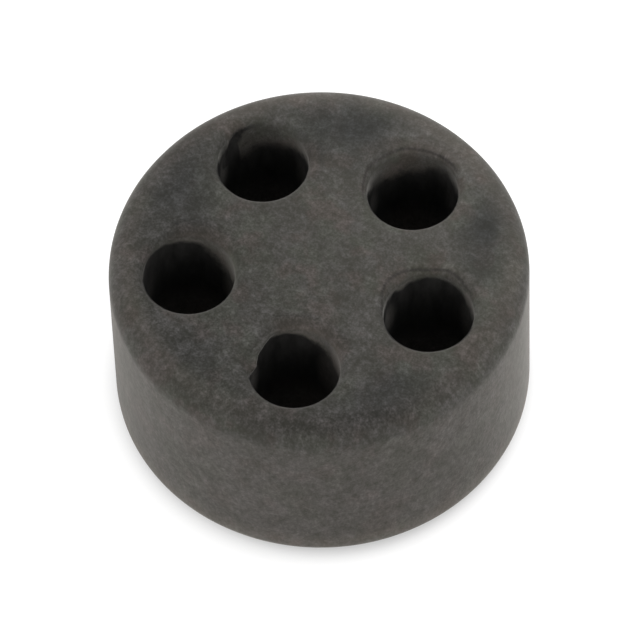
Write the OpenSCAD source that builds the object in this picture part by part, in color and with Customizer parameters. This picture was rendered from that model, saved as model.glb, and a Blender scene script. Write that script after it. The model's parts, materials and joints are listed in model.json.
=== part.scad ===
// Sealing insert for a cable gland, moulded from rubber in one piece: a short
// round plug with a ring of through bores, one for each cable that it seals.
// The plug stands on its bottom face, with its axis on Z.

/* [Body] */
// Diameter of the side wall
body_d = 27.5; // [26.5:0.1:34]
// Height from the bottom face to the top face
body_h = 15; // [6:0.5:30]
// Radius of the round from the side wall to the top face
top_round = 1.8; // [0.4:0.1:2]
// Radius of the round from the side wall to the bottom face
bottom_round = 1.5; // [0.4:0.1:2]

/* [Bores] */
// Number of cable bores, the first on +X and the others evenly round the axis
bore_count = 5; // [1:1:6]
// Diameter of each bore's straight wall
bore_d = 6.2; // [3:0.1:6.4]
// Diameter of the circle through the bores' centres
pitch_d = 16.75; // [14:0.25:17]
// Width of the rounded band round each mouth of a bore
mouth_w = 0.28; // [0.1:0.02:0.3]
// Radius of the round in that band, which meets the face at a faint edge
mouth_round = 0.4; // [0.35:0.05:0.8]

/* [Hidden] */
rubber_colour = "#4f4e4a";
body_r = body_d / 2;
bore_r = bore_d / 2;
pitch_r = pitch_d / 2;
bore_step = 360 / bore_count;
// Depth of a mouth's round, from the face down to the bore's straight wall
mouth_depth = sqrt(mouth_round ^ 2 - (mouth_round - mouth_w) ^ 2);
// How far a bore's cutter runs past the faces
cut_over = 1;
$fn = 96;

// What a round of this radius takes off a square corner, with the round's centre at the origin
module corner_waste(radius) {
    difference() {
        square(radius);
        circle(radius);
    }
}

// Half of the plug's section, from its axis out to the side wall
module body_section() {
    difference() {
        square([body_r, body_h]);
        translate([body_r - top_round, body_h - top_round])
            corner_waste(top_round);
        translate([body_r - bottom_round, bottom_round])
            mirror([0, 1])
                corner_waste(bottom_round);
    }
}

// Half of the section of what a mouth's round takes away, upwards from where the round starts
module mouth_section() {
    difference() {
        square([bore_r + mouth_round, mouth_round + cut_over]);
        translate([bore_r + mouth_round, 0])
            circle(mouth_round);
    }
}

// Half of the section of one bore with its two mouths
module bore_section() {
    translate([0, -cut_over])
        square([bore_r, body_h + 2 * cut_over]);
    translate([0, body_h - mouth_depth])
        mouth_section();
    translate([0, mouth_depth])
        mirror([0, 1])
            mouth_section();
}

module sealing_insert() {
    color(rubber_colour)
        difference() {
            rotate_extrude()
                body_section();
            for (i = [0 : bore_count - 1])
                rotate([0, 0, i * bore_step])
                    translate([pitch_r, 0, 0])
                        rotate_extrude()
                            bore_section();
        }
}

sealing_insert();
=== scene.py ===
# Cable gland sealing insert: the dressed rubber part, its floor, light and camera
import json
from math import atan2, cos, degrees, hypot, pi, radians, sin

import bmesh
import bpy
from mathutils import Matrix, Vector


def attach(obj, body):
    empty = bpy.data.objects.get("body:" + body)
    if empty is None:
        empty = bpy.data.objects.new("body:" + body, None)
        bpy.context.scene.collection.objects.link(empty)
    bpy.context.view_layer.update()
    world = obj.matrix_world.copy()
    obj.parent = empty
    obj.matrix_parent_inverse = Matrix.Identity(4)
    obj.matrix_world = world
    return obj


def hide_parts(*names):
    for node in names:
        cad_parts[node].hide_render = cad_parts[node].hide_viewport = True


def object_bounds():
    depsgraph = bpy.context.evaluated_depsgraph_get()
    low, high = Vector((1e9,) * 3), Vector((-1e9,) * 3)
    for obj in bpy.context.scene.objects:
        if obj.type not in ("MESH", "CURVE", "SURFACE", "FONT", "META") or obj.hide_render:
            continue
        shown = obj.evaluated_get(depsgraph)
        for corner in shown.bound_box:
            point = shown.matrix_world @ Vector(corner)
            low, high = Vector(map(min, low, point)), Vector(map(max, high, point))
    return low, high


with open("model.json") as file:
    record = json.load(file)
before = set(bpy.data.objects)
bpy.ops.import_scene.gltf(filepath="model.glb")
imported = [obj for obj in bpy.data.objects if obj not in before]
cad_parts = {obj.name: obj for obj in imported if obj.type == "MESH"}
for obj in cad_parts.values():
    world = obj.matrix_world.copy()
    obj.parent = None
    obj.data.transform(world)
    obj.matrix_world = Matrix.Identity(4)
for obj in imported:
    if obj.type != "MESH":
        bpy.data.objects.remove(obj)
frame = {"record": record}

cadLow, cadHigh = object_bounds()
mm = 0.001
hair = 0.002 * mm    # slack for picking by place
mounts = {mount["name"]: mount for mount in frame["record"]["mounts"]}
bores = [mounts[name] for name in sorted(mounts) if name.startswith("bore_")]
print("frame loaded:", len(bores), "bores")


# Selecting by place in edit mode, and the few moves that every stage uses

def selectNothing():
    bpy.ops.object.select_all(action="DESELECT")


def editMesh():
    return bmesh.from_edit_mesh(bpy.context.object.data)


def pickVerts(test):
    mesh = editMesh()
    for vert in mesh.verts:
        vert.select = test(vert.co)
    mesh.select_flush_mode()
    bmesh.update_edit_mesh(bpy.context.object.data)


def pickOpenEdge(test):
    mesh = editMesh()
    for vert in mesh.verts:
        vert.select = vert.is_boundary and test(vert.co)
    mesh.select_flush_mode()
    bmesh.update_edit_mesh(bpy.context.object.data)


def pickEdges(test):
    mesh = editMesh()
    bpy.ops.mesh.select_all(action="DESELECT")
    for edge in mesh.edges:
        if test(edge.verts[0].co, edge.verts[1].co):
            edge.select_set(True)
    bmesh.update_edit_mesh(bpy.context.object.data)


def pickFaces(test):
    mesh = editMesh()
    bpy.ops.mesh.select_all(action="DESELECT")
    for face in mesh.faces:
        if test(face.calc_center_median(), face.normal):
            face.select_set(True)
    bmesh.update_edit_mesh(bpy.context.object.data)


def nextRing(centre, widen, lift):
    # extrudes the selected ring, then widens it about the centre and moves it along Z
    bpy.ops.mesh.extrude_region_move()
    bpy.ops.transform.resize(value=(widen, widen, 1), center_override=centre)
    bpy.ops.transform.translate(value=(0, 0, lift))


def followSection(centre, section):
    # carries the selected ring through a section given as (radius, height) points
    for (radiusFrom, heightFrom), (radiusTo, heightTo) in zip(section, section[1:]):
        nextRing(centre, radiusTo / radiusFrom, heightTo - heightFrom)


def mergeClose():
    bpy.ops.mesh.select_all(action="SELECT")
    bpy.ops.mesh.remove_doubles(threshold=0.001 * mm)


def softMove(move, reach):
    # moves what is selected and draws its neighbours along, as far away as reach
    bpy.ops.transform.translate(value=move, use_proportional_edit=True,
                                proportional_edit_falloff="SMOOTH", proportional_size=reach)


def nudge(place, move, reach):
    # a soft move of the one vertex that is nearest to a place
    mesh = editMesh()
    nearest = min(mesh.verts, key=lambda vert: (vert.co - place).length_squared)
    bpy.ops.mesh.select_all(action="DESELECT")
    nearest.select_set(True)
    bmesh.update_edit_mesh(bpy.context.object.data)
    softMove(move, reach)


# The insert's body: one slice of the top face with its bore, mirrored for the bottom face and
# repeated round the axis

insertBody = {
    "radius": mounts["outer_wall"]["dims"]["r_mm"] * mm,
    "height": cadHigh.z,
    "pitch": mounts["bore_1"]["pos_m"][0],
    "boreRadius": mounts["bore_1"]["dims"]["r_mm"] * mm,
    "topRound": 1.8 * mm,
    "bottomRound": 1.5 * mm,
    "mouthWidth": 0.41 * mm,     # how far a mouth's soft edge flares out, and how deep it reaches
    "mouthDepth": 0.6 * mm,
    "mouthSlope": 4,             # degrees by which the edge leaves the face
    "mouthGap": 0.02 * mm,       # flat ring between the face's grid and the soft edge
    "rimSteps": 200,             # vertices round the body; a multiple of twenty
    "mouthSteps": 108,           # vertices round a mouth, as many as a slice has round its edge
    "faceRings": 11,
    "upperWall": (3.6 * mm, 15), # depth of the bore's finer upper wall and its steps
    "lowerSteps": 8,
    "sideSteps": 32,
}


def roundSection(radiusAt, heightAt, wide, tall, angleFrom, angleTo, steps):
    # points along a round with its centre at (radiusAt, heightAt)
    angles = [angleFrom + (angleTo - angleFrom) * step / steps for step in range(steps + 1)]
    return [(radiusAt + wide * cos(angle), heightAt + tall * sin(angle)) for angle in angles]


def evenSection(radius, heightFrom, heightTo, steps):
    return [(radius, heightFrom + (heightTo - heightFrom) * step / steps) for step in range(steps + 1)]


def cutSlice(size):
    # one fifth of the top face, as the outline of a pie slice round bore 1
    flatRadius = size["radius"] - size["topRound"]
    halfSlice = pi / len(bores)
    slack = 0.005    # radians, much less than from one vertex to the next
    bpy.ops.mesh.primitive_circle_add(vertices=size["rimSteps"], radius=flatRadius, fill_type="TRIFAN")
    bpy.ops.object.mode_set(mode="EDIT")
    bpy.ops.mesh.select_mode(type="VERT")
    bpy.ops.mesh.select_all(action="SELECT")
    bpy.ops.transform.translate(value=(0, 0, size["height"]))
    pickVerts(lambda place: hypot(place.x, place.y) > mm
              and abs(atan2(place.y, place.x)) > halfSlice + slack)
    bpy.ops.mesh.delete(type="VERT")

    def isSpoke(near, far):
        rim = far if near.xy.length < far.xy.length else near
        return min(near.xy.length, far.xy.length) < mm and abs(atan2(rim.y, rim.x)) < halfSlice - slack

    def isSliceSide(near, far):
        return min(near.xy.length, far.xy.length) < mm

    pickEdges(isSpoke)
    bpy.ops.mesh.delete(type="EDGE_FACE")
    pickEdges(isSliceSide)
    arcSteps = size["rimSteps"] // len(bores)
    sideSteps = (size["mouthSteps"] - arcSteps) // 2
    bpy.ops.mesh.subdivide(number_cuts=sideSteps - 1)


def cutBore(size):
    # the mouth's ring is bridged to the slice, then carried down the bore to half height
    centre = (size["pitch"], 0, size["height"])
    edgeRadius = size["boreRadius"] + size["mouthWidth"]
    startRadius = edgeRadius + size["mouthGap"]
    bpy.ops.mesh.primitive_circle_add(vertices=size["mouthSteps"], radius=startRadius, location=centre)
    bpy.ops.mesh.select_all(action="SELECT")
    bpy.ops.mesh.bridge_edge_loops(number_cuts=size["faceRings"], interpolation="LINEAR")
    pickVerts(lambda place: abs(hypot(place.x - size["pitch"], place.y) - startRadius) < hair)
    # the soft edge is part of an ellipse that would reach a little above the face
    edgeAngle = pi / 2 + radians(size["mouthSlope"])
    wide = size["mouthWidth"] / (1 + cos(edgeAngle))
    tall = size["mouthDepth"] / sin(edgeAngle)
    section = [(startRadius, size["height"])]
    section += roundSection(size["boreRadius"] + wide, size["height"] - size["mouthDepth"], wide, tall,
                            edgeAngle, pi, 9)
    wallTop = section[-1][1]
    upperDepth, upperSteps = size["upperWall"]
    section += evenSection(size["boreRadius"], wallTop, wallTop - upperDepth, upperSteps)[1:]
    middle = size["height"] / 2
    section += evenSection(size["boreRadius"], wallTop - upperDepth, middle, size["lowerSteps"])[1:]
    followSection(centre, section)


def mirrorAndRepeat(size):
    middle = (0, 0, size["height"] / 2)
    bpy.ops.mesh.select_all(action="SELECT")
    bpy.ops.mesh.duplicate()
    bpy.ops.transform.resize(value=(1, 1, -1), center_override=middle)
    mergeClose()
    bpy.ops.mesh.select_all(action="SELECT")
    bpy.ops.mesh.spin(steps=len(bores) - 1, dupli=True, angle=2 * pi * (1 - 1 / len(bores)),
                      center=(0, 0, 0), axis=(0, 0, 1))
    mergeClose()


def addRimAndSide(size):
    # the top face's edge is carried over the rim, down the side and round the foot
    topFlat = size["radius"] - size["topRound"]
    bottomFlat = size["radius"] - size["bottomRound"]
    shoulder = size["height"] - size["topRound"]
    pickOpenEdge(lambda place: place.z < shoulder / 2)
    share = bottomFlat / topFlat
    bpy.ops.transform.resize(value=(share, share, 1), center_override=(0, 0, 0))
    pickOpenEdge(lambda place: place.z > shoulder)
    section = roundSection(topFlat, shoulder, size["topRound"], size["topRound"], pi / 2, 0, 9)
    section += evenSection(size["radius"], shoulder, size["bottomRound"], size["sideSteps"])[1:]
    foot = size["bottomRound"]
    section += roundSection(bottomFlat, foot, foot, foot, 0, -pi / 2, 8)[1:]
    followSection((0, 0, 0), section)
    mergeClose()


def makeInsert(size):
    selectNothing()
    cutSlice(size)
    cutBore(size)
    mirrorAndRepeat(size)
    addRimAndSide(size)
    bpy.ops.mesh.select_all(action="SELECT")
    bpy.ops.mesh.normals_make_consistent(inside=False)
    bpy.ops.object.mode_set(mode="OBJECT")
    piece = bpy.context.object
    piece.name = "rubber_insert"
    piece.data.name = "rubber_insert"
    return piece


insert = makeInsert(insertBody)
print("insert modelled:", len(insert.data.vertices), "vertices")


# What moulding and handling did to the insert, round each bore. Angles run round the bore's own
# axis from +X, in degrees; distances and depths below the top face are in millimetres.

wear = {
    # how far each bore stands off its regular place, along X and Y
    "shift": {
        "bore_1": (-0.147, -0.049),
        "bore_2": (0.174, -0.297),
        "bore_3": (-0.160, -0.046),
        "bore_4": (-0.106, -0.053),
        "bore_5": (0.076, 0.050),
    },
    "shiftReach": 1.9,
    # how wide each bore's wall came out, against its size in the drawing
    "shrink": {"bore_1": 0.955, "bore_2": 0.970, "bore_3": 0.970, "bore_4": 0.970, "bore_5": 0.962},
    # sink marks between the bores: distance and angle from the insert's axis, depth, reach
    "sinks": ((10.95, 174, 0.10, 1.9), (10.7, 108, 0.09, 1.8), (11.2, 41, 0.09, 1.8),
              (10.7, 322, 0.09, 1.8), (10.9, 249, 0.11, 2.0)),
    # a tear in the wall of bore_3: angle, depth, outward push and its reach
    "tearBore": "bore_3",
    "tear": ((150, 0.65, 0.05, 0.45), (155, 0.90, 0.10, 0.55), (160, 1.25, 0.14, 0.60),
             (165, 1.70, 0.15, 0.60), (170, 2.20, 0.12, 0.60), (174, 2.80, 0.07, 0.55)),
    "tearPatch": (135, 190, 4.3),    # the wall round the tear is divided finer: angles and depth
    # a flap of flash in the mouth of bore_5: its free edge as angle and distance from the axis
    "flapBore": "bore_5",
    "flapEdge": ((139, 3.03), (145, 3.02), (150, 2.97), (161, 2.77), (173, 2.64), (185, 2.61),
                 (194, 2.54), (202, 2.50), (207, 2.50), (211, 2.60), (215, 2.76), (219, 2.92),
                 (223, 3.03)),
    "flapDepth": (0.30, 0.80),
    "flapDraw": 0.8,          # how far it is drawn in at first, as a share of the wall's radius
    "flapThickness": 0.45,    # as a share of the wall that the flap is drawn from
}


def boreAxis(name):
    offX, offY = wear["shift"][name]
    place = mounts[name]["pos_m"]
    return Vector((place[0] + offX * mm, place[1] + offY * mm, 0))


boreAxes = {bore["name"]: boreAxis(bore["name"]) for bore in bores}


def roundBore(name, angle, distance, depth):
    # a place given by a bore's own angle and distance
    out = Vector((cos(radians(angle)), sin(radians(angle)), 0))
    return boreAxes[name] + out * distance * mm + Vector((0, 0, insertBody["height"] - depth * mm))


def angleRound(name, place):
    return degrees(atan2(place.y - boreAxes[name].y, place.x - boreAxes[name].x)) % 360


def distanceFrom(name, place):
    return (place.xy - boreAxes[name].xy).length


def shiftBores(size):
    # nearest the rim the face's rows are so close that the one past the flat ring comes along
    pastRing = 0.005 * mm
    reach = size["boreRadius"] + size["mouthWidth"] + size["mouthGap"] + pastRing
    for bore in bores:
        centre = Vector(bore["pos_m"]).xy
        offX, offY = wear["shift"][bore["name"]]
        pickVerts(lambda place: (place.xy - centre).length < reach)
        softMove((offX * mm, offY * mm, 0), wear["shiftReach"] * mm)
        # the wall shrinks below the mouth's edge, which stays
        depth = size["mouthDepth"]
        wall = size["boreRadius"] + hair
        axis = boreAxes[bore["name"]]
        share = wear["shrink"][bore["name"]]
        pickVerts(lambda place: (place.xy - axis.xy).length < wall)
        bpy.ops.transform.resize(value=(share, share, 1), center_override=axis,
                                 use_proportional_edit=True, proportional_edit_falloff="SMOOTH",
                                 proportional_size=depth)


def sinkFace(size):
    for distance, angle, depth, reach in wear["sinks"]:
        place = Vector((cos(radians(angle)), sin(radians(angle)), 0)) * distance * mm
        place.z = size["height"]
        nudge(place, (0, 0, -depth * mm), reach * mm)


def tearWall(size):
    name = wear["tearBore"]
    angleFrom, angleTo, patchDepth = wear["tearPatch"]
    bpy.ops.mesh.select_mode(type="FACE")
    pickFaces(lambda centre, normal: centre.z > size["height"] - patchDepth * mm
              and distanceFrom(name, centre) < size["boreRadius"] + size["mouthWidth"]
              and angleFrom < angleRound(name, centre) < angleTo)
    bpy.ops.mesh.subdivide(number_cuts=1)
    bpy.ops.mesh.select_mode(type="VERT")
    for angle, depth, push, reach in wear["tear"]:
        place = roundBore(name, angle, size["boreRadius"] / mm, depth)
        nudge(place, (cos(radians(angle)) * push * mm, sin(radians(angle)) * push * mm, 0), reach * mm)


def edgeDistance(points, angle):
    # reads an edge given as (angle, distance) points at an angle between them
    for (angleFrom, start), (angleTo, end) in zip(points, points[1:]):
        if angle <= angleTo:
            return start + (end - start) * (angle - angleFrom) / (angleTo - angleFrom)


def drawFlap(size):
    # faces at the top of the wall are drawn inwards and thinned, then their free edge is set
    # column by column
    name = wear["flapBore"]
    edge = wear["flapEdge"]
    first, last = edge[0][0], edge[-1][0]
    top, foot = [size["height"] - depth * mm for depth in wear["flapDepth"]]

    def onWall(centre, normal):
        return (foot < centre.z < top and first < angleRound(name, centre) < last
                and distanceFrom(name, centre) < size["boreRadius"] + 0.1 * mm)

    pickFaces(onWall)
    bpy.ops.mesh.extrude_region_move()
    centre = boreAxes[name] + Vector((0, 0, top))
    bpy.ops.transform.resize(value=(wear["flapDraw"], wear["flapDraw"], wear["flapThickness"]),
                             center_override=centre)
    drawnWithin = size["boreRadius"] * (wear["flapDraw"] + 0.05)
    step = 360 / size["mouthSteps"]
    for column in range(int((last - first) / step) + 2):
        angle = first + column * step
        pickVerts(lambda place: place.z > foot and distanceFrom(name, place) < drawnWithin
                  and abs(angleRound(name, place) - angle) <= step / 2)
        picked = [distanceFrom(name, vert.co) for vert in editMesh().verts if vert.select]
        if picked:
            share = edgeDistance(edge, min(angle, last)) * mm * len(picked) / sum(picked)
            bpy.ops.transform.resize(value=(share, share, 1), center_override=centre)


def wearInsert(piece, size):
    selectNothing()
    piece.select_set(True)
    bpy.context.view_layer.objects.active = piece
    bpy.ops.object.mode_set(mode="EDIT")
    bpy.ops.mesh.select_mode(type="VERT")
    shiftBores(size)
    sinkFace(size)
    tearWall(size)
    bpy.ops.mesh.select_mode(type="FACE")
    pickFaces(lambda centre, normal: False)
    drawFlap(size)
    bpy.ops.object.mode_set(mode="OBJECT")


wearInsert(insert, insertBody)
print("bores set as moulded, with the sinks, the tear and the flap")


# Shader maths: a wire wraps a socket, and sums on wires add their Math nodes

class Wire:
    def __init__(self, board, socket):
        self.board = board
        self.socket = socket

    def sum(self, operation, first, second):
        return self.board.add("ShaderNodeMath", {"operation": operation}, [first, second])

    def __add__(self, other):
        return self.sum("ADD", self, other)

    def __sub__(self, other):
        return self.sum("SUBTRACT", self, other)

    def __rsub__(self, other):
        return self.sum("SUBTRACT", other, self)

    def __mul__(self, other):
        return self.sum("MULTIPLY", self, other)

    def __truediv__(self, other):
        return self.sum("DIVIDE", self, other)


class Board:
    def __init__(self, tree):
        self.tree = tree
        tree.nodes.clear()

    def add(self, kind, settings=None, inputs=(), output=0):
        # settings go in first, because they decide which sockets the node shows
        node = self.tree.nodes.new(kind)
        for name, value in (settings or {}).items():
            setattr(node, name, value)
        pairs = inputs.items() if isinstance(inputs, dict) else enumerate(inputs)
        for key, value in pairs:
            socket = node.inputs[key]
            if isinstance(value, Wire):
                self.tree.links.new(value.socket, socket)
            else:
                socket.default_value = value
        return Wire(self, node.outputs[output])

    def finish(self, kind, shader):
        target = self.tree.nodes.new(kind)
        self.tree.links.new(shader.socket, target.inputs["Surface"])

    def least(self, first, second):
        return self.add("ShaderNodeMath", {"operation": "MINIMUM"}, [first, second])

    def most(self, first, second):
        return self.add("ShaderNodeMath", {"operation": "MAXIMUM"}, [first, second])

    def absolute(self, value):
        return self.add("ShaderNodeMath", {"operation": "ABSOLUTE"}, [value])

    def root(self, value):
        return self.add("ShaderNodeMath", {"operation": "SQRT"}, [value])

    def fade(self, value, none, full):
        # 0 at none, 1 at full, eased between them
        return self.add("ShaderNodeMapRange", {"interpolation_type": "SMOOTHSTEP"},
                        [value, none, full, 0.0, 1.0])

    def band(self, value, centre, half):
        # 1 at the centre, eased to 0 at half the width to either side
        return self.fade(self.absolute(value - centre), half, 0.0)

    def noise(self, place, size, detail=2.0, roughness=0.5):
        # size is the width of one clump in millimetres
        return self.add("ShaderNodeTexNoise", {"noise_dimensions": "3D"},
                        {"Vector": place, "Scale": 1 / size, "Detail": detail, "Roughness": roughness})

    def blend(self, amount, first, second, how="MIX"):
        return self.add("ShaderNodeMix", {"data_type": "RGBA", "blend_type": how},
                        {0: amount, 6: first, 7: second}, output=2)


# Where the dust and the stains lie round each bore, with the painted light and shade on the mouths, walls
# and rim, painted on the mesh for the material to read.
# Every list runs round a bore, and each entry starts with its angle.

dirtAndLight = {
    # depth in millimetres at which the dust on the wall ends, and over what depth it thins out
    "dustEdge": {
        "bore_1": ((0, 0.25, 0.25), (20, 0.75, 0.6), (36, 1.8, 1.4), (48, 2.2, 2.2), (60, 1.9, 2.0),
                   (72, 1.15, 0.9), (84, 1.05, 0.6), (96, 0.95, 0.45), (120, 0.85, 0.35), (132, 0.95, 0.5),
                   (144, 1.0, 0.5), (156, 1.4, 0.6), (168, 0.9, 0.5), (180, 1.1, 0.9), (192, 1.1, 0.9),
                   (204, 1.3, 0.9), (220, 0.5, 0.5), (240, 0.23, 0.2), (270, 0.19, 0.2), (340, 0.22, 0.2)),
        "bore_2": ((0, 0.25, 0.25), (20, 0.45, 0.5), (36, 1.3, 1.5), (48, 1.5, 2.1), (60, 1.6, 1.9),
                   (72, 1.4, 1.2), (84, 1.6, 1.8), (96, 1.85, 1.4), (108, 2.5, 1.8), (132, 2.5, 1.8),
                   (144, 2.8, 1.8), (156, 2.5, 1.8), (168, 2.0, 2.0), (190, 1.7, 1.8), (203, 1.0, 1.0),
                   (220, 0.5, 0.6), (240, 0.23, 0.2), (270, 0.18, 0.2), (340, 0.22, 0.2)),
        "bore_3": ((0, 0.28, 0.25), (20, 0.45, 0.5), (36, 1.5, 1.2), (48, 1.5, 1.4), (60, 1.7, 1.4),
                   (84, 2.15, 1.4), (96, 2.5, 1.4), (120, 2.65, 1.4), (132, 2.8, 1.7), (144, 3.4, 2.2),
                   (150, 3.2, 2.4), (158, 0.4, 0.4), (168, 1.25, 0.8), (180, 1.0, 1.4), (192, 1.1, 1.5),
                   (204, 0.6, 0.8), (220, 0.3, 0.4), (240, 0.2, 0.2), (270, 0.18, 0.2), (340, 0.22, 0.2)),
        "bore_4": ((0, 0.25, 0.25), (20, 0.85, 0.7), (36, 2.6, 2.6), (48, 2.9, 3.2), (60, 2.9, 2.8),
                   (72, 2.7, 2.8), (84, 2.3, 2.6), (96, 1.65, 1.9), (108, 1.25, 0.6), (120, 1.2, 0.5),
                   (132, 1.05, 0.6), (144, 0.88, 0.4), (156, 0.72, 0.4), (192, 0.6, 0.5), (204, 0.6, 0.8),
                   (220, 0.35, 0.4), (240, 0.22, 0.2), (270, 0.17, 0.2), (340, 0.2, 0.2)),
        "bore_5": ((0, 0.28, 0.25), (20, 0.8, 0.7), (36, 2.4, 2.0), (48, 2.9, 3.2), (60, 2.8, 3.6),
                   (72, 2.0, 2.8), (84, 1.65, 1.1), (96, 1.5, 0.9), (108, 1.15, 0.5), (120, 1.05, 0.3),
                   (132, 0.85, 0.3), (200, 0.6, 0.3), (214, 0.6, 0.5), (226, 0.4, 0.4), (240, 0.28, 0.3),
                   (270, 0.19, 0.2), (340, 0.2, 0.2)),
    },
    # painted light and shade: how much lighter or darker the mouth and the upper wall are
    "wallTone": {
        "bore_1": ((20, -0.1), (40, -0.15), (60, 0.0), (85, 0.0), (96, 0.0), (115, 0.2), (130, 0.25),
                   (156, 0.5), (168, 0.3), (180, -0.1), (192, -0.3), (206, -0.4), (224, -0.3), (240, -0.1),
                   (340, 0.0)),
        "bore_2": ((20, 0.0), (48, -0.12), (72, -0.2), (84, 0.0), (96, 0.3), (120, 0.55), (150, 0.5),
                   (168, 0.25), (180, 0.0), (192, -0.12), (206, -0.33), (224, -0.3), (240, -0.1),
                   (340, 0.0)),
        "bore_3": ((20, 0.0), (40, 0.0), (60, 0.5), (84, 0.35), (108, 0.2), (120, 0.15), (132, 0.0),
                   (156, 0.0), (168, 0.0), (180, -0.25), (192, -0.2), (204, 0.0), (220, 0.0), (340, 0.0)),
        "bore_4": ((20, 0.3), (40, 1.0), (55, 1.0), (72, 0.65), (84, 0.4), (96, 0.6), (120, 0.65),
                   (132, 0.5), (144, 0.35), (156, 0.2), (180, 0.0), (200, -0.1), (220, 0.0), (340, 0.0)),
        "bore_5": ((20, 0.1), (40, 0.5), (60, 0.8), (72, 0.4), (84, 0.7), (96, 0.95), (110, 0.9),
                   (120, 0.65), (132, 0.5), (144, 0.2), (156, 0.0), (168, 0.0), (180, -0.15),
                   (200, 0.15), (220, 0.0), (240, 0.0), (340, 0.0)),
    },
    # painted shade: a dark line on the soft edge, standing in for the shade of a small step there: its
    # distance from the axis less its depth, and its strength
    "shadeLine": {
        "bore_1": ((50, 2.70, 0), (60, 2.72, 0.8), (70, 2.77, 1.1), (78, 2.90, 1.3), (88, 3.05, 1.4),
                   (97, 3.10, 1.2), (109, 2.96, 1.1), (123, 2.88, 1.1), (134, 3.06, 1.1), (145, 3.26, 1.2),
                   (158, 3.38, 1.2), (172, 3.41, 1.2), (184, 3.22, 1.2), (196, 2.86, 1), (208, 2.64, 0.7),
                   (218, 2.60, 0)),
        "bore_2": ((48, 3.04, 0), (60, 3.03, 1.2), (70, 2.97, 1.7), (82, 2.93, 1.8), (96, 2.86, 1.6),
                   (107, 2.85, 1.4), (118, 2.95, 1.3), (134, 3.03, 1.2), (148, 2.96, 0.9), (157, 2.96, 0.8),
                   (168, 3.14, 1), (180, 3.24, 1.2), (196, 3.14, 1.4), (208, 3.15, 1.2), (219, 3.22, 0.9),
                   (230, 3.26, 0)),
    },
    # a brown stain round the mouth: its strength
    "stain": {
        "bore_1": ((45, 0), (70, 0.4), (130, 0.4), (150, 0)),
        "bore_2": ((45, 0), (65, 0.6), (130, 0.6), (150, 0)),
        "bore_3": ((0, 0), (8, 1), (45, 1), (56, 0)),
        "bore_4": ((50, 0), (75, 1), (130, 1), (145, 0)),
        "bore_5": ((42, 0), (60, 1), (135, 1), (150, 0)),
    },
    # painted light and shade: how much lighter or darker the band inside the rim is, round the insert's own
    # axis
    "rimTone": ((7, 0.02), (31, 0.08), (55, 0.3), (79, 0.26), (103, 0.42), (127, 0.58), (151, 0.16),
                (175, 0.18), (199, 0.28), (223, 0.54), (247, 0.42), (271, 0.2), (295, -0.1), (319, -0.22),
                (343, -0.04)),
    # patches of painted light on the wall, laid on as dust: bore, angle, depth, reach along the wall and
    # down it, strength
    "lightPatches": (("bore_1", 182, 3.4, 0.9, 1.8, 0.5), ("bore_1", 63, 4.6, 0.9, 2.8, 0.25),
                ("bore_2", 181, 4.4, 0.7, 1.8, 0.25), ("bore_2", 63, 4.8, 0.8, 2.6, 0.2),
                ("bore_3", 184, 3.6, 0.7, 1.8, 0.4), ("bore_3", 63, 5.0, 0.8, 2.6, 0.2),
                ("bore_4", 183, 4.6, 0.7, 1.8, 0.15), ("bore_4", 62, 5.2, 0.9, 2.6, 0.3),
                ("bore_5", 186, 3.8, 0.8, 2.2, 0.45), ("bore_5", 70, 5.0, 1.3, 3.4, 0.4)),
    # the crease of the tear, clean rubber painted dark, partly as painted shade in its groove: angle,
    # depth, half width, strength
    "crease": ((110, 0.34, 0.12, 0), (120, 0.38, 0.15, 0.4), (132, 0.48, 0.18, 0.6), (144, 0.62, 0.25, 0.7),
               (150, 0.75, 0.40, 0.95), (156, 1.00, 0.58, 1), (160, 1.40, 0.60, 1), (165, 1.95, 0.58, 1),
               (171, 2.40, 0.50, 1), (176, 2.80, 0.40, 0.8)),
}


def roundList(entries, angle):
    # reads a list round a bore at an angle, between its entries and across 360 degrees
    turns = [(entry[0] + turn, entry[1:]) for turn in (-360, 0, 360) for entry in entries]
    for (angleFrom, valuesFrom), (angleTo, valuesTo) in zip(turns, turns[1:]):
        if angleFrom <= angle <= angleTo:
            share = (angle - angleFrom) / (angleTo - angleFrom)
            share = share * share * (3 - 2 * share)
            return [start + (end - start) * share for start, end in zip(valuesFrom, valuesTo)]


def creaseAt(name, angle, depth):
    # 1 in the middle of the crease, eased to 0 at its edges
    if name != wear["tearBore"]:
        return 0
    wall = insertBody["boreRadius"] / mm
    deepest = 0
    crease = dirtAndLight["crease"]
    for (angleFrom, depthFrom, *widthFrom), (angleTo, depthTo, *widthTo) in zip(crease, crease[1:]):
        start = Vector((radians(angleFrom) * wall, depthFrom))
        line = Vector((radians(angleTo) * wall, depthTo)) - start
        offset = Vector((radians(angle) * wall, depth)) - start
        share = min(max(offset.dot(line) / line.length_squared, 0), 1)
        half, strength = [first + (last - first) * share for first, last in zip(widthFrom, widthTo)]
        gap = (offset - line * share).length / half
        deepest = max(deepest, strength * min(max(1.5 - gap, 0), 1))
    return deepest


# painted light: how strong the light patches are at a place on a bore's wall
def lightPatchAt(name, angle, depth):
    wall = insertBody["boreRadius"] / mm
    thickest = 0
    for bore, patchAngle, patchDepth, wide, tall, strength in dirtAndLight["lightPatches"]:
        if bore == name:
            gap = hypot(radians(angle - patchAngle) * wall / wide, (depth - patchDepth) / tall)
            thickest = max(thickest, strength * (1 - min(gap, 1) ** 2))
    return thickest


dirtAndLightPaints = ("dustEdge", "dustFade", "wallTone", "lineAt", "lineDark", "stain", "rimTone", "patch")
noShadeLine = ((0, 3, 0), (180, 3, 0))    # for the bores without a painted shade line


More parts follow.
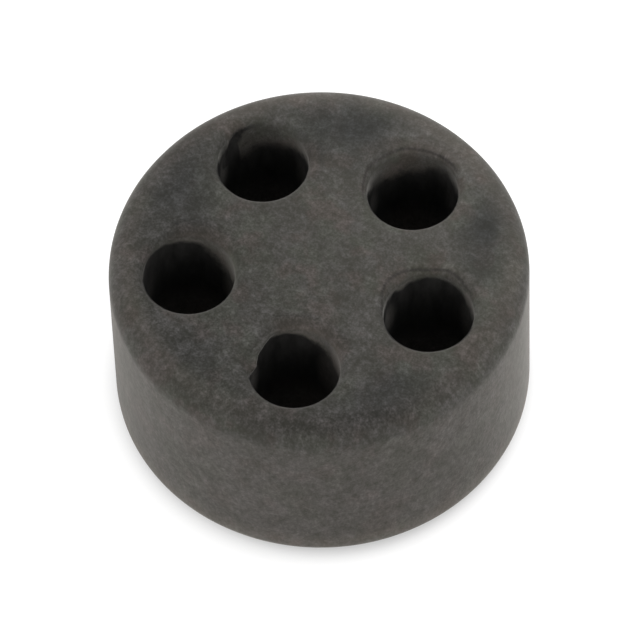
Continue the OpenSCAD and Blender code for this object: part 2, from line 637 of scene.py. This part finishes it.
def paintDirtAndLight(piece):
    layers = piece.data.attributes
    for name in dirtAndLightPaints:
        layers.new(name, "FLOAT", "POINT")
    for vert in piece.data.vertices:
        name = min(boreAxes, key=lambda name: distanceFrom(name, vert.co))
        angle = angleRound(name, vert.co)
        depth = (insertBody["height"] - vert.co.z) / mm
        values = roundList(dirtAndLight["dustEdge"][name], angle) + roundList(dirtAndLight["wallTone"][name], angle)
        values += roundList(dirtAndLight["shadeLine"].get(name, noShadeLine), angle)
        values += roundList(dirtAndLight["stain"][name], angle)
        values += roundList(dirtAndLight["rimTone"], degrees(atan2(vert.co.y, vert.co.x)) % 360)
        # the light patches, less the tear's crease
        values.append(lightPatchAt(name, angle, depth) - creaseAt(name, angle, depth))
        for paint, value in zip(dirtAndLightPaints, values):
            layers[paint].data[vert.index].value = value


paintDirtAndLight(insert)
print("dirt painted")


# The rubber: dusty outside, clean and nearly black down the bores, with painted shade further down them and
# painted light and shade round the mouths, rim, foot and top

rubber = {
    "dusty": (0.0466, 0.0440, 0.0381, 1),
    "clean": (0.0185, 0.0177, 0.0168, 1),
    # painted shade: the colour the clean rubber darkens to far down the bores
    "deepest": (0.0092, 0.0092, 0.0087, 1),
    "cleanRoughness": 0.7,
    "cleanSpecular": 0.22,
    "brown": (0.0490, 0.0405, 0.0340, 1),
    "slate": (0.0398, 0.0410, 0.0364, 1),
    "olive": (0.0440, 0.0450, 0.0345, 1),
    "roughness": 0.85,
    "specular": 0.5,
    "sheen": 0.34,
    "sheenRoughness": 0.36,
    "sheenTint": (1.0, 0.97, 0.91, 1),
    "tone": 0.935,            # the dust's tone on the top
    "sideTone": 0.05,         # how much lighter it is on the side
    # clump size in millimetres and strength of the grain's four layers
    "grain": ((0.13, 1.2), (0.3, 1.3), (0.8, 1.1), (2.4, 0.6)),
    "grainContrast": 1.1,     # of all four layers, on the top
    "sideContrast": 0.15,     # what the side has more
    "lightSpecks": 0.6,       # how much more light specks stand out than dark ones
    "sideSpecks": 0.3,        # how much less of that the side has
    # heights in millimetres between which the top's looks come in, and the side's further down
    "topFrom": (13.9, 14.8),
    "sideFrom": (13.9, 12.6),
    # clump size of the brown and the olive tinge and of the streaks down the bores
    "brownClump": 2.2,
    "oliveClump": 3.1,
    "streakClump": 0.8,
    "bumpStrength": 0.4,
    "bumpDepth": 0.03 * mm,
    # soft dark smudges: radius and angle of the centre, half length along the rim, half width,
    # turn and strength
    "smudges": ((10.2, 108.8, 5.4, 3.2, 2, 0.49), (10.3, 103, 2.2, 1.4, 0, 0.14),
                (10.4, 177, 5.4, 3.1, 25, 0.30), (10.8, 178, 2.9, 1.2, 0, 0.14),
                (10.6, 252, 2.8, 1.8, -7, 0.14), (11.3, 321.4, 5.2, 1.9, 3, 0.25),
                (10.8, 322, 2.2, 1.2, 15, 0.12), (11.0, 37, 5.2, 2.4, -9, 0.36),
                (11.1, 41, 2.4, 1.1, 0, 0.24)),
    "grainStretch": 0.76,    # how much the grain is drawn out along the side
    # painted light: the top's tone lightens towards this direction, the over lamp's, by this share of its
    # tone for each millimetre
    "paintedLightTowards": (66, 0.034),
    # painted light at the foot, where the floor's light falls, and dust on the bores' lower wall, which
    # also paints light far down them: height where it starts, height where it is full, strength
    "footLight": (3.2, 1.4, 0.72),
    "lowerWallDustAndLight": (9.2, 4.8, 0.8),
    "rimBand": (12.65, 1.3),    # radius of the toned band inside the rim, and its half width
}


def awayFromBores(board, x, y):
    # distance from the nearest bore's axis, in millimetres
    away = None
    for axis in boreAxes.values():
        offX = x - axis.x / mm
        offY = y - axis.y / mm
        distance = board.root(offX * offX + offY * offY)
        away = distance if away is None else board.least(away, distance)
    return away


def smudgeOver(board, x, y, ragged, smudges):
    # the soft dark smudges on the top, each an ellipse with a ragged edge
    smudge = None
    for spotRadius, spotAngle, halfLength, halfWidth, turn, strength in smudges:
        angle = radians(spotAngle)
        offX = x - spotRadius * cos(angle)
        offY = y - spotRadius * sin(angle)
        angle += radians(turn)
        along = (offY * cos(angle) - offX * sin(angle)) / halfLength
        across = (offX * cos(angle) + offY * sin(angle)) / halfWidth
        reach = board.root(along * along + across * across) + ragged
        spot = board.fade(reach, 1.15, 0.1) * strength
        smudge = spot if smudge is None else smudge + spot
    return smudge


def rubberMaterial(values):
    material = bpy.data.materials.new("dusty_rubber_painted_light")
    material.use_nodes = True
    board = Board(material.node_tree)
    place = board.add("ShaderNodeVectorMath", {"operation": "SCALE"},
                      {0: board.add("ShaderNodeTexCoord", output="Object"), "Scale": 1 / mm})
    x, y, z = [board.add("ShaderNodeSeparateXYZ", inputs=[place], output=axis) for axis in range(3)]
    radius = board.root(x * x + y * y)
    height = insertBody["height"] / mm
    depth = board.least(height - z, z)
    away = awayFromBores(board, x, y)
    onTop = board.fade(z, *values["topFrom"])
    side = board.fade(z, *values["sideFrom"])

    # noises: the grain, the two tinges, and streaks that run down the bores
    stretched = board.add("ShaderNodeVectorMath", {"operation": "MULTIPLY"},
                          [place, (1, 1, values["grainStretch"])])
    layers = [board.noise(stretched, size, 1.0, 0.5) for size, strength in values["grain"]]
    fine, grain, soft, broad = layers
    warm = board.noise(stretched, values["brownClump"], 2.0, 0.55)
    green = board.noise(stretched, values["oliveClump"], 2.0, 0.55)
    drawnDown = board.add("ShaderNodeVectorMath", {"operation": "MULTIPLY"}, [place, (1, 1, 0.3)])
    streaks = board.noise(drawnDown, values["streakClump"], 3.0, 0.6)
    mottle = 0.0
    for layer, (size, strength) in zip(layers, values["grain"]):
        mottle = (layer - 0.5) * strength + mottle
    mottle = mottle + mottle * mottle * (values["lightSpecks"] - side * values["sideSpecks"])
    smudge = smudgeOver(board, x, y, (broad - 0.5) * 0.6, values["smudges"]) * board.fade(z, 14.0, 14.8)

    # where the dust is off: down the bores with a ragged edge, in the tear, a little in the smudges and
    # along the painted shade line
    bore = insertBody["boreRadius"] / mm
    dustEdge, dustFade, wallTone, lineAt, lineDark, stain, rimTone, patch = [
        board.add("ShaderNodeAttribute", {"attribute_name": name}, output="Fac") for name in dirtAndLightPaints]
    inBore = board.fade(away, bore + 0.9, bore + 0.5)
    rough = (soft - 0.5) * 0.7 + (grain - 0.5) * 0.9 + (streaks - 0.5) * 0.4
    ragged = depth + rough * (dustFade * 0.7 + 0.05)
    clean = inBore * board.fade(ragged, dustEdge - dustFade * 0.5, dustEdge + dustFade * 0.5)
    crease = board.most(0.0 - patch, 0.0)
    torn = board.fade(crease + (grain - 0.5) * 1.4 + (soft - 0.5) * 0.8, 0.0, 1.1)
    torn = torn * board.fade(crease, 0.0, 0.4) * inBore
    # painted shade: how far down the bore the clean rubber has darkened
    deep = board.fade(depth, 0.8, 5.6)
    # painted shade: the dark line on the soft edge
    line = board.band(away - depth + (grain - 0.5) * 0.1, lineAt, 0.27) * lineDark * inBore
    clean = board.most(clean, board.most(torn, smudge * 0.6 + line * 0.25))
    # dust lies on the wall's lower half again, which also paints light far down the bores, and the light
    # patches are laid on the same way
    startHeight, fullHeight, addedShare = values["lowerWallDustAndLight"]
    clean = board.least(clean, 1.0 - board.most(patch, board.fade(z, startHeight, fullHeight) * addedShare))

    # stains round the mouths, and painted light and shade round the mouths and inside the rim
    brownInside = board.fade(away, bore + 1.1, bore + 0.3) * stain
    brownInside = brownInside * (1.0 - board.fade(depth, 0.2, 0.9) * 0.7)
    brownRing = board.band(away, bore + 0.7, 0.45) * stain
    # painted highlight: a lighter band where the dust ends, on the mouths' lighter side
    lipHighlight = inBore * board.band(ragged, dustEdge - 0.25, 0.35) * board.most(wallTone, 0.0)
    # painted light and shade on the mouth and the upper wall
    inside = inBore * board.fade(depth, 0.03, 0.5) * wallTone
    rimRadius, rimHalf = values["rimBand"]
    rim = board.band(radius, rimRadius, rimHalf) * board.fade(z, 12.6, 13.8)

    colour = board.blend(board.fade(green, 0.46, 0.62) * 0.8, values["dusty"], values["olive"])
    colour = board.blend(board.fade(warm, 0.5, 0.64) * 0.8, colour, values["brown"])
    colour = board.blend(board.most(rim, side) * 0.45, colour, values["brown"])
    colour = board.blend(smudge * 1.5, colour, values["slate"])
    colour = board.blend(board.most(brownInside * 0.8, line * 0.5), colour, values["brown"])

    # the tone that the colour is multiplied by
    lightAngle, lightShare = values["paintedLightTowards"]
    towards = x * cos(radians(lightAngle)) + y * sin(radians(lightAngle))
    specks = mottle * (side * values["sideContrast"] + values["grainContrast"] - smudge * 0.4)
    tone = specks + towards * lightShare * onTop
    tone = tone + side * values["sideTone"] + values["tone"]
    # the painted shade line, the painted light and shade round the mouths and inside the rim, and the
    # painted highlight are laid on the tone here
    tone = tone - smudge + rim * rimTone - line * 0.3 - brownRing * 0.2 + inside + lipHighlight * 0.8
    # painted light at the foot, where the floor's light falls
    startHeight, fullHeight, addedShare = values["footLight"]
    tone = tone + board.fade(z, startHeight, fullHeight) * addedShare
    # blue takes a little more of the specks, so that they stay as grey as the dust
    grey = board.add("ShaderNodeCombineColor", inputs=[tone, tone, tone + specks * 0.2])
    colour = board.blend(1.0, colour, grey, "MULTIPLY")

    grainHeight = fine * 0.5 + grain * 0.8 + soft * 0.6
    bump = board.add("ShaderNodeBump", inputs={
        "Strength": values["bumpStrength"], "Distance": values["bumpDepth"], "Height": grainHeight})
    dustyRubber = board.add("ShaderNodeBsdfPrincipled", inputs={
        "Base Color": colour,
        "Roughness": values["roughness"],
        "Specular IOR Level": values["specular"],
        "Sheen Weight": values["sheen"],
        "Sheen Roughness": values["sheenRoughness"],
        "Sheen Tint": values["sheenTint"],
        "Normal": bump,
    })
    cleanTone = board.most((streaks - 0.5) * 3.0 * inBore + 1.0, 0.25)
    cleanGrey = board.add("ShaderNodeCombineColor", inputs=[cleanTone] * 3)
    # the clean rubber with painted shade far down the bores
    cleanShadedColour = board.blend(deep, values["clean"], values["deepest"])
    cleanRubber = board.add("ShaderNodeBsdfPrincipled", inputs={
        "Base Color": board.blend(1.0, cleanShadedColour, cleanGrey, "MULTIPLY"),
        "Roughness": values["cleanRoughness"],
        "Specular IOR Level": values["cleanSpecular"],
        "Normal": bump,
    })
    board.finish("ShaderNodeOutputMaterial",
                 board.add("ShaderNodeMixShader", inputs=[clean, dustyRubber, cleanRubber]))
    return material


insert.data.materials.clear()
insert.data.materials.append(rubberMaterial(rubber))
selectNothing()
insert.select_set(True)
bpy.context.view_layer.objects.active = insert
bpy.ops.object.shade_smooth_by_angle(angle=radians(35))
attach(insert, "root")
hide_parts("sealing_insert")
print("rubber finished")


# Floor and world: white to the camera, with the insert's shadow kept

surround = {
    "floorSize": 3.0,
    "floorDrop": 0.02 * mm,    # the floor lies a hair below the insert's foot
    "floorColour": (0.8, 0.8, 0.8, 1),
    "floorGlow": 0.72,
    "floorShade": 0.5,
    # the glow starts under the insert's edge, so that no bore is lit from below, and it reaches full only
    # past the foot, leaving a painted shadow round the insert
    "shadowReach": (11 * mm, 15 * mm),
    "skyColour": (1.0, 1.0, 1.0, 1),
    "skyStrength": 0.62,
}


def seenPlainly(board):
    # 1 for rays from the camera and for those mirrored or sent through clear pieces
    rays = [board.add("ShaderNodeLightPath", output=name)
            for name in ("Is Camera Ray", "Is Glossy Ray", "Is Transmission Ray")]
    return board.most(board.most(rays[0], rays[1]), rays[2])


def makeFloor(values):
    selectNothing()
    bpy.ops.mesh.primitive_plane_add(size=values["floorSize"], location=(0, 0, 0))
    bpy.ops.object.mode_set(mode="EDIT")
    bpy.ops.mesh.select_all(action="SELECT")
    bpy.ops.transform.translate(value=(0, 0, -values["floorDrop"]))
    bpy.ops.object.mode_set(mode="OBJECT")
    floor = bpy.context.object
    floor.name = "floor"
    material = bpy.data.materials.new("pale_floor")
    material.use_nodes = True
    board = Board(material.node_tree)
    place = board.add("ShaderNodeTexCoord", output="Object")
    x, y = [board.add("ShaderNodeSeparateXYZ", inputs=[place], output=axis) for axis in range(2)]
    out = board.root(x * x + y * y)
    under, clear = values["shadowReach"]
    plain = board.add("ShaderNodeBsdfDiffuse", inputs={"Color": values["floorColour"]})
    shaded = board.add("ShaderNodeBsdfDiffuse", inputs={"Color": (values["floorShade"],) * 3 + (1,)})
    glow = board.add("ShaderNodeEmission", inputs={
        "Color": (1, 1, 1, 1),
        "Strength": board.fade(out, under, clear) * values["floorGlow"],
    })
    white = board.add("ShaderNodeAddShader", inputs=[shaded, glow])
    board.finish("ShaderNodeOutputMaterial",
                 board.add("ShaderNodeMixShader", inputs=[seenPlainly(board), plain, white]))
    floor.data.materials.append(material)


def makeWorld(values):
    world = bpy.data.worlds.new("studio")
    bpy.context.scene.world = world
    world.use_nodes = True
    board = Board(world.node_tree)
    light = board.add("ShaderNodeBackground", inputs=[values["skyColour"], values["skyStrength"]])
    white = board.add("ShaderNodeBackground", inputs=[(1, 1, 1, 1), 1.0])
    board.finish("ShaderNodeOutputWorld",
                 board.add("ShaderNodeMixShader", inputs=[seenPlainly(board), light, white]))


makeFloor(surround)
makeWorld(surround)


# Softboxes: where each stands, in metres, its size and its power

softboxes = {
    "over": {"place": (0.2, 0.46, 0.75), "size": 0.7, "power": 2.9},
    "left": {"place": (-0.75, -0.35, 0.45), "size": 0.6, "power": 1.95},
    "right": {"place": (0.55, -0.45, 0.45), "size": 0.6, "power": 1.45},
}


def addSoftbox(name, values):
    place = Vector(values["place"])
    bpy.ops.object.light_add(type="AREA", location=place)
    lamp = bpy.context.object
    lamp.name = name
    lamp.data.shape = "DISK"
    lamp.data.size = values["size"]
    lamp.data.energy = values["power"]
    lamp.rotation_euler = (-place).to_track_quat("-Z", "Y").to_euler()


for name, values in softboxes.items():
    addSoftbox(name, values)
print("floor, world and lamps made")


# Camera: a long lens from above, turned a little about its own axis as in the photograph

view = {
    "distance": 0.55,
    "elevation": 57.87,
    "heading": 31.29,      # the picture's right-hand direction, from +X
    "roll": 2.26,
    "lens": 469.6,
    "offset": (0.054 * mm, 0.105 * mm),
}


def makeCamera(values):
    turn = Matrix.Rotation(radians(values["heading"]), 4, "Z")
    tilt = Matrix.Rotation(radians(90 - values["elevation"]), 4, "X")
    roll = Matrix.Rotation(radians(-values["roll"]), 4, "Z")
    facing = turn @ tilt @ roll
    middle = Vector((0, 0, insertBody["height"] / 2))
    offX, offY = values["offset"]
    place = middle + facing @ Vector((-offX, -offY, values["distance"]))
    bpy.ops.object.camera_add(location=place, rotation=facing.to_euler())
    camera = bpy.context.object
    camera.data.sensor_width = 36
    camera.data.lens = values["lens"]
    camera.data.clip_start = 0.01
    camera.data.clip_end = 20
    bpy.context.scene.camera = camera


makeCamera(view)
bpy.context.scene.view_settings.view_transform = "Standard"
print("camera set")
